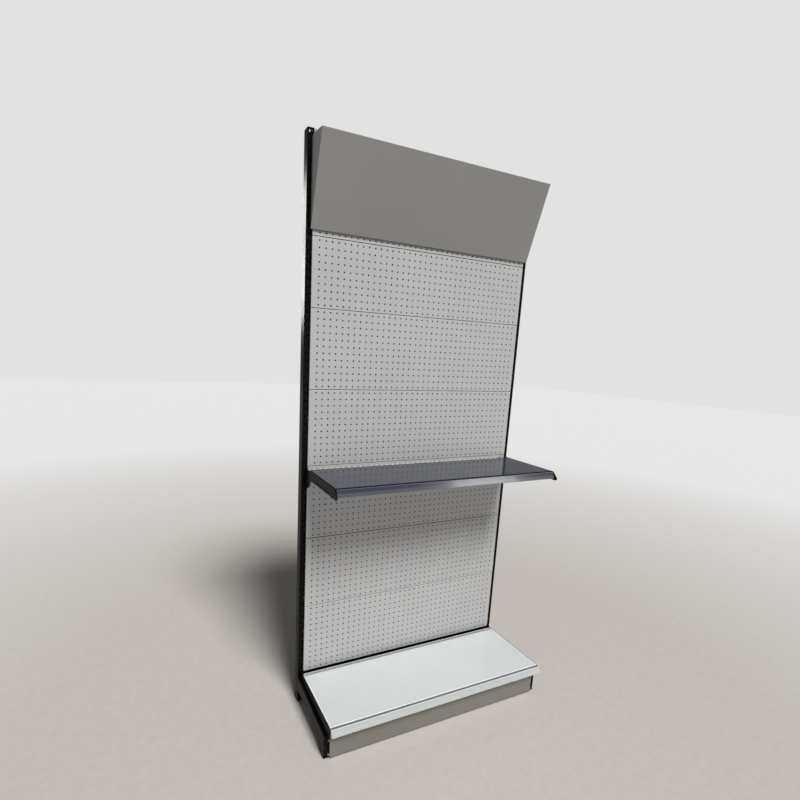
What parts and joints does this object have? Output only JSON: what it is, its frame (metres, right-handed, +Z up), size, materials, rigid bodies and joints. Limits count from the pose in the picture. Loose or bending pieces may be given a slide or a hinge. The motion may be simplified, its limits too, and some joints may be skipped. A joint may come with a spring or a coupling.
{
  "type": "pegboard display stand",
  "caption": "Single-sided shop gondola bay with perforated back panels, slotted uprights, a shelf, a base deck, a kick plate and a leaning header.",
  "frame": {"origin": "on the floor, at the middle of the stand's overall width and depth", "axes": "+X to the right of a shopper who faces the stand, +Y towards its back, +Z up"},
  "size_m": [1.025, 0.4151, 2.25],
  "materials": {
    "black_powder_coat": "semi-gloss powder coat on steel",
    "black_plastic": "moulded plastic",
    "zinc_steel": "bright zinc plating",
    "panel_enamel": "satin light grey powder coat on perforated steel",
    "shelf_enamel": "glossy slate grey powder coat",
    "deck_enamel": "glossy cool white powder coat",
    "shelf_rail_plastic": "extruded plastic, slate grey",
    "shelf_label_strip": "blank label strip",
    "deck_rail_plastic": "extruded plastic, white",
    "deck_label_strip": "blank label strip",
    "kick_enamel": "semi-gloss warm grey powder coat",
    "header_enamel": "semi-gloss warm grey powder coat"
  },
  "bodies": {
    "frame": {"upright_left": "black_powder_coat", "upright_right": "black_powder_coat", "base_leg_left": "black_powder_coat", "base_leg_right": "black_powder_coat", "base_leg_rivets": "black_powder_coat", "lower_tie_beam": "black_powder_coat", "upper_tie_beam": "black_powder_coat", "upright_foot_insert_left": "black_plastic", "upright_foot_insert_right": "black_plastic", "leg_leveller_nuts": "zinc_steel", "tie_beam_bolts": "zinc_steel", "tie_beam_nuts": "zinc_steel", "back_panel_1": "panel_enamel", "back_panel_2": "panel_enamel", "back_panel_3": "panel_enamel", "back_panel_4": "panel_enamel", "back_panel_5": "panel_enamel", "back_panel_6": "panel_enamel", "back_panel_7": "panel_enamel"},
    "shelf_brackets": {"shelf_bracket_left": "black_powder_coat", "shelf_bracket_right": "black_powder_coat", "shelf_bracket_rivets": "black_powder_coat"},
    "shelf": {"shelf_tray": "shelf_enamel", "shelf_stiffeners": "shelf_enamel", "shelf_price_rail": "shelf_rail_plastic", "shelf_price_insert": "shelf_label_strip"},
    "deck": {"base_deck": "deck_enamel", "deck_stiffeners": "deck_enamel", "deck_price_rail": "deck_rail_plastic", "deck_price_insert": "deck_label_strip"},
    "kick_plate": {"kick_plate": "kick_enamel"},
    "header": {"header_panel": "header_enamel", "header_bracket_left": "header_enamel", "header_bracket_right": "header_enamel", "header_screws": "zinc_steel"},
    "rear_foot_left": {"rear_leveller_left": "zinc_steel"},
    "rear_foot_right": {"rear_leveller_right": "zinc_steel"},
    "front_foot_left": {"leg_leveller_left": "zinc_steel"},
    "front_foot_right": {"leg_leveller_right": "zinc_steel"}
  },
  "joints": [
    {"name": "shelf_tilt", "type": "hinge", "parent": "frame", "child": "shelf_brackets", "pos_m": [0, 0.16835, 1.0275], "axis": [-1, 0, 0], "range_deg": [0, 12]},
    {"name": "shelf_lift", "type": "slide", "parent": "shelf_brackets", "child": "shelf", "axis": [0, 0, 1], "range_m": [0, 0.04]},
    {"name": "deck_lift", "type": "slide", "parent": "frame", "child": "deck", "axis": [0, 0, 1], "range_m": [0, 0.06]},
    {"name": "kick_plate_lift", "type": "slide", "parent": "frame", "child": "kick_plate", "axis": [0, 0, 1], "range_m": [0, 0.006]},
    {"name": "header_lift", "type": "slide", "parent": "frame", "child": "header", "axis": [0, 0, 1], "range_m": [0, 0.006]},
    {"name": "rear_foot_left_screw", "type": "slide", "parent": "frame", "child": "rear_foot_left", "axis": [0, 0, -1], "range_m": [0, 0.015]},
    {"name": "rear_foot_right_screw", "type": "slide", "parent": "frame", "child": "rear_foot_right", "axis": [0, 0, -1], "range_m": [0, 0.015]},
    {"name": "front_foot_left_screw", "type": "slide", "parent": "frame", "child": "front_foot_left", "axis": [0, 0, -1], "range_m": [0, 0.015]},
    {"name": "front_foot_right_screw", "type": "slide", "parent": "frame", "child": "front_foot_right", "axis": [0, 0, -1], "range_m": [0, 0.015]}
  ]
}
